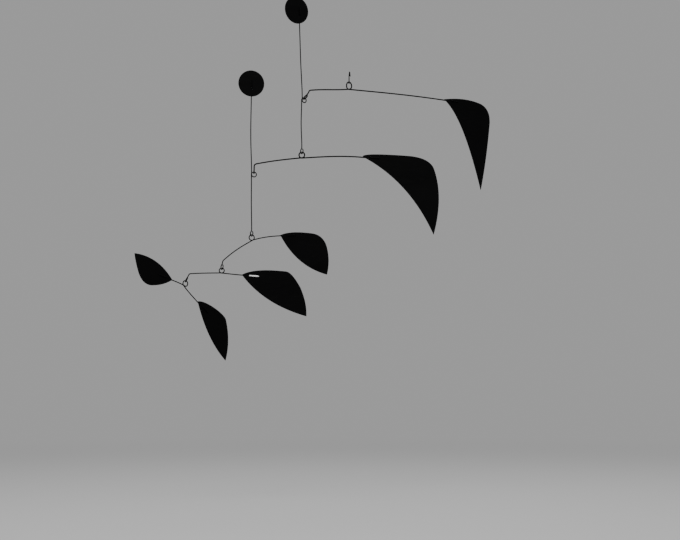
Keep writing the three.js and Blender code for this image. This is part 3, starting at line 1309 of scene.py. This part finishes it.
@dataclass(frozen=True)
class StudioPaper:
    """The pale floor, which fades into the backdrop far out."""

    colour: Triple = (0.58, 0.58, 0.58)
    fade_from: float = 0.3
    fade_to: float = 3.6
    roughness: float = 0.95

    def material(self) -> bpy.types.Material:
        """Makes the floor's material."""
        finish = Finish("pale_floor")
        away = finish.add("ShaderNodeVectorMath", {0: finish.place}, operation="LENGTH")
        far = finish.between(away.outputs["Value"], self.fade_from, self.fade_to)
        surface = {
            "Base Color": finish.mix(far, self.colour, BLACK),
            "Emission Color": BACKDROP,
            "Emission Strength": far,
            "Roughness": self.roughness,
            "Specular IOR Level": 0.0,
        }
        finish.feed(finish.shader, surface)
        return finish.material


class Mobile:
    """The whole mobile: the chain of bodies from the hanger down."""

    def __init__(self) -> None:
        """Sets out the chain."""
        self.chain: list[Tier] = [
            make_hanger(),
            make_arm_1(),
            make_rod_1(),
            make_arm_2(),
            make_rod_2(),
            make_arm_3(),
            make_arm_4(),
            make_arm_5(),
        ]
        coat, rubbed = brushed_coat_group(), rubbed_spot_group()
        self.wire_paint = BlackPaint(coat, rubbed, stroke_scale=160.0, bump=0.1)
        self.sheet_paint = BlackPaint(coat, rubbed, dull=0.7, shiny=0.5, bump=0.2)

    def hang(self) -> None:
        """Places each body below the one before it and works out its pieces."""
        place = Vector()
        for tier in self.chain:
            tier.hang_at(place)
            tier.lay_out()
            if tier.link_place is not None:
                place = tier.plane @ tier.link_place

    def build(self) -> None:
        """Makes every piece, dresses it and puts it on its body."""
        for tier in self.chain:
            rubs = tuple(rub * MM for rub in tier.rubs)
            paints = [self.wire_paint.material(f"{tier.name}_wire_paint", tier.yaw, rubs=rubs)]
            # A second, near-white material paints the highlight on the stitch's front stretch.
            if tier.bright is not None:
                paints.append(PaintedHighlightMetal().material(f"{tier.name}_bare_wire"))
            node = "hanger_link" if tier.name == "hanger" else f"{tier.name}_wire"
            self._settle(tier.wire_piece().build(), paints, tier.name, node)
            for sheet in tier.sheets:
                paint = self.sheet_paint.material(f"{sheet.name}_paint", tier.yaw, STROKE_STRETCH)
                node = sheet.name.removesuffix("_cut")
                self._settle(sheet.build(), [paint], tier.name, node)

    def _settle(
        self,
        piece: bpy.types.Object,
        finishes: list[bpy.types.Material],
        body: str,
        node: str,
    ) -> None:
        """Dresses a piece and puts it on its body in the place of its CAD node.

        Args:
            piece: The finished piece.
            finishes: Its materials.
            body: The body's name.
            node: The CAD node that it stands for.
        """
        for finish in finishes:
            piece.data.materials.append(finish)
        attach(piece, body)
        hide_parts(node)
        LOG.info("%s rides on %s with %d faces", piece.name, body, len(piece.data.polygons))


@dataclass(frozen=True)
class SoftLight:
    """A soft square light, with its side in metres and its power in watts."""

    name: str
    place: Triple
    side: float
    power: float


@dataclass(frozen=True)
class Studio:
    """The pale floor, the soft lights and the camera."""

    floor_drop: float = 0.98
    floor_radius: float = 14.0
    floor_sides: int = 96
    aim: Triple = (-0.05, 0, -0.25)
    lights: tuple[SoftLight, ...] = (
        SoftLight("key_light", (-0.5, -2.6, 1.3), side=1.6, power=56.0),
        SoftLight("fill_light", (2.4, -2.0, 0.4), side=1.8, power=18.0),
        SoftLight("top_light", (0.2, 0.8, 2.0), side=2.2, power=30.0),
    )
    eye: Triple = (-0.0216, -3.040, -0.6814)
    lens: float = 71.47
    sensor: float = 36.0
    rise: float = 0.1547

    def build(self) -> None:
        """Makes the floor, the lights and the camera."""
        self._floor()
        self._world()
        for light in self.lights:
            self._shine(light)
        self._camera()

    def _floor(self) -> None:
        """Lays the floor below the mobile."""
        deselect_all()
        bpy.ops.mesh.primitive_circle_add(
            vertices=self.floor_sides,
            radius=self.floor_radius,
            fill_type="NGON",
            location=(0, 0, -self.floor_drop),
        )
        floor = bpy.context.object
        floor.name = "pale_floor"
        floor.data.materials.append(StudioPaper().material())

    def _world(self) -> None:
        """Gives the room its even pale light."""
        world = bpy.data.worlds.new("soft_studio")
        world.use_nodes = True
        background = world.node_tree.nodes["Background"]
        background.inputs["Color"].default_value = (*BACKDROP, 1)
        background.inputs["Strength"].default_value = 1.0
        bpy.context.scene.world = world

    def _shine(self, soft: SoftLight) -> None:
        """Adds a light that looks at the mobile's middle."""
        deselect_all()
        towards = (Vector(self.aim) - Vector(soft.place)).to_track_quat("-Z", "Y").to_euler()
        bpy.ops.object.light_add(type="AREA", location=soft.place, rotation=towards)
        light = bpy.context.object
        light.name = soft.name
        light.data.size = soft.side
        light.data.energy = soft.power

    def _camera(self) -> None:
        """Stands the camera where the photograph was taken from."""
        deselect_all()
        bpy.ops.object.camera_add(location=self.eye, rotation=(math.radians(90), 0, 0))
        camera = bpy.context.object
        camera.name = "photo_camera"
        camera.data.sensor_width = self.sensor
        camera.data.sensor_fit = "HORIZONTAL"
        camera.data.lens = self.lens
        camera.data.shift_y = self.rise
        bpy.context.scene.camera = camera


def main() -> None:
    """Builds the mobile and its studio."""
    logging.basicConfig(level=logging.INFO, format="%(name)s: %(message)s")
    mobile = Mobile()
    mobile.hang()
    mobile.build()
    Studio().build()


if __name__ == "__main__":
    main()
